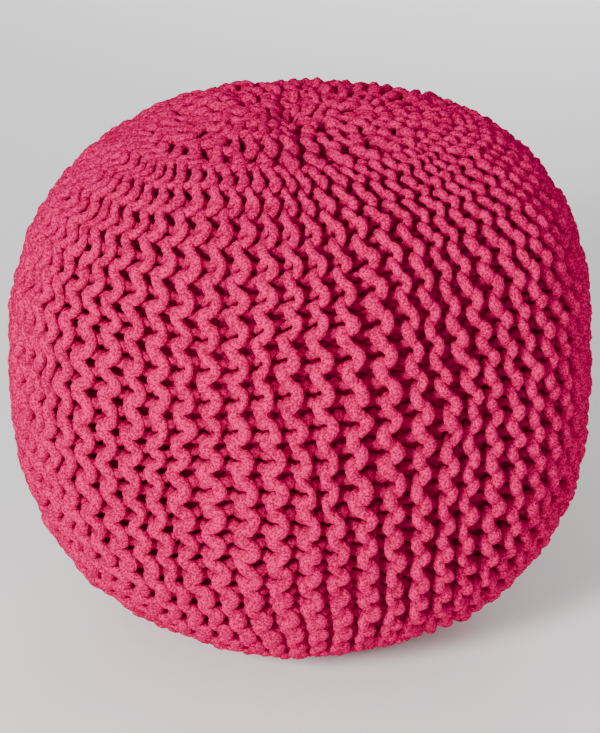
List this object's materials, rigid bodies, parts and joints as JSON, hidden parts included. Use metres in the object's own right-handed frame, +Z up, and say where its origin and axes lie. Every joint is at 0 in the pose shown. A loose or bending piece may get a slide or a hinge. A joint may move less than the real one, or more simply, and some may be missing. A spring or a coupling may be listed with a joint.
{
  "type": "cotton rope pouf",
  "caption": "Low, nearly round stuffed seat whose cover is knitted in thick cotton rope, ribbed from the gathered crown to the gathered foot.",
  "frame": {"origin": "middle of the underside, on the surface that the pouf stands on", "axes": "+Z up through the crown; -Y is the side with the crown's gather a little to the left"},
  "size_m": [0.5, 0.5, 0.4709],
  "materials": {
    "cotton_rope": "matt, slightly fuzzy raspberry pink cotton"
  },
  "bodies": {
    "root": {"knitted_pouf": "cotton_rope"}
  },
  "joints": []
}
